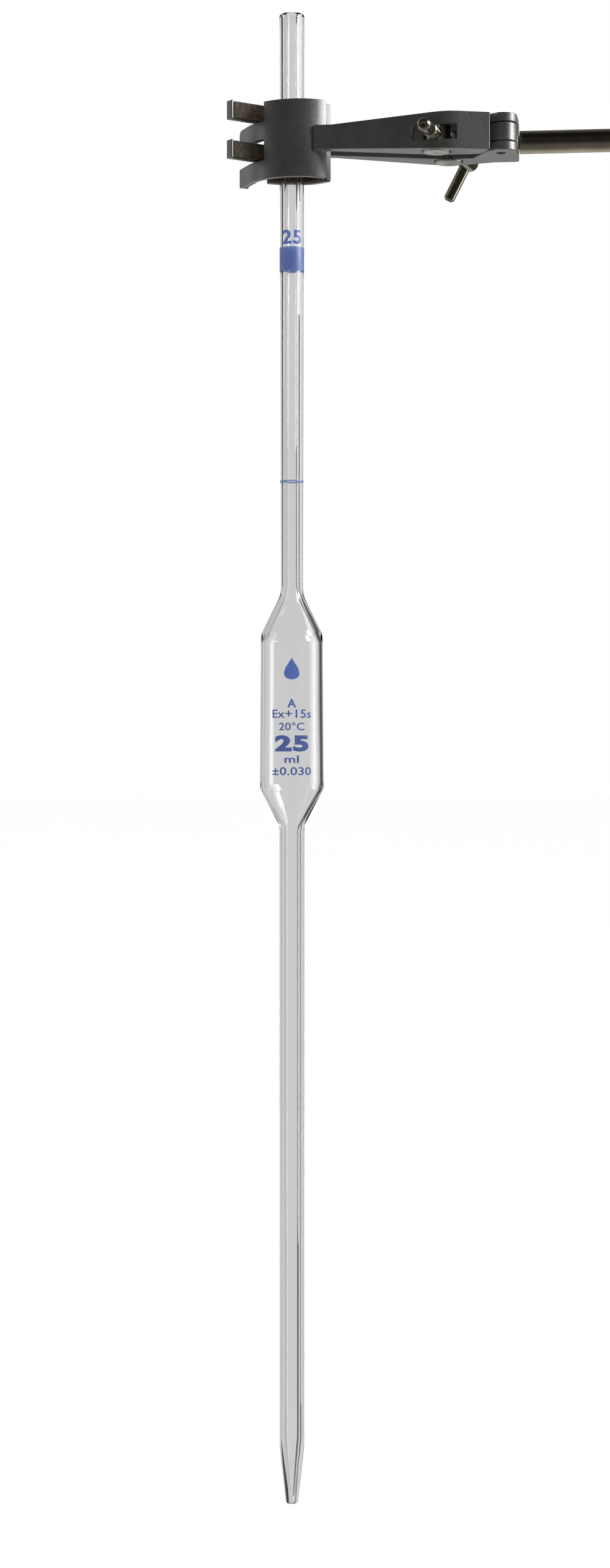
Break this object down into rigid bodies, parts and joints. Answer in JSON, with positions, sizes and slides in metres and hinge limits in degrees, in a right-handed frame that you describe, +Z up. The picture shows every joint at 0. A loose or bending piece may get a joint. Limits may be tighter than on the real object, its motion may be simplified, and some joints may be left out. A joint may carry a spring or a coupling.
{
  "type": "bulb pipette in a clamp",
  "caption": "Glass bulb pipette held upright by a cork-lined finger clamp with a hinged jaw, a cross-bar screw and a round support rod.",
  "frame": {"origin": "centre of the support rod's free end face", "axes": "+X out of the rod's free end, away from the jaws; +Z up, along the pipette towards its mouth; the moving jaw is on the -Y side"},
  "size_m": [0.2323, 0.0669, 0.52],
  "materials": {
    "bright_steel": "bright drawn or turned steel",
    "grey_paint": "fine hammered metallic grey paint on a casting",
    "cork": "dark agglomerated cork sheet, matt",
    "clear_glass": "clear, drawn and fused, fire-polished ends",
    "blue_enamel": "blue stain fired on the glass"
  },
  "bodies": {
    "frame": {"support_rod": "bright_steel", "fixed_arm": "grey_paint", "cork_fixed_band": "cork", "cork_fixed_upper_finger": "cork", "cork_fixed_lower_finger": "cork", "hinge_pin": "bright_steel"},
    "moving_jaw": {"moving_arm": "grey_paint", "cork_moving_band": "cork", "cork_moving_upper_finger": "cork", "cork_moving_lower_finger": "cork"},
    "bush": {"swivel_bush": "bright_steel"},
    "screw": {"clamp_screw": "bright_steel", "thrust_washer": "bright_steel", "retaining_ring": "bright_steel", "tommy_bar": "bright_steel"},
    "nut": {"swivel_nut": "bright_steel"},
    "pipette": {"pipette_glass": "clear_glass", "colour_code_band": "blue_enamel", "ring_mark": "blue_enamel"}
  },
  "joints": [
    {"name": "screw_turn", "type": "hinge", "parent": "bush", "child": "screw", "pos_m": [-0.15581, 0.0023, 0.0001], "axis": [0.1908, 0.9816, 0], "range_deg": [0, 4564]},
    {"name": "jaw_hinge", "type": "hinge", "parent": "frame", "child": "moving_jaw", "pos_m": [-0.1371, -0.0099, 0.0007], "axis": [0, 0, 1], "range_deg": [0, 30.1]},
    {"name": "bush_swivel", "type": "hinge", "parent": "frame", "child": "bush", "pos_m": [-0.15581, 0.0023, 0.0007], "axis": [0, 0, 1], "range_deg": [0, 15.1]},
    {"name": "nut_swivel", "type": "hinge", "parent": "moving_jaw", "child": "nut", "pos_m": [-0.159, -0.0141, 0.0007], "axis": [0, 0, 1], "range_deg": [-15.2, 0]},
    {"name": "pipette_slide", "type": "slide", "parent": "frame", "child": "pipette", "axis": [0, 0, 1], "range_m": [-0.03, 0.11]}
  ],
  "couplings": [
    {"joint": "jaw_hinge", "follows": "screw_turn", "ratio": 0.0065732},
    {"joint": "bush_swivel", "follows": "screw_turn", "ratio": 0.0032735},
    {"joint": "nut_swivel", "follows": "screw_turn", "ratio": -0.0032998}
  ]
}
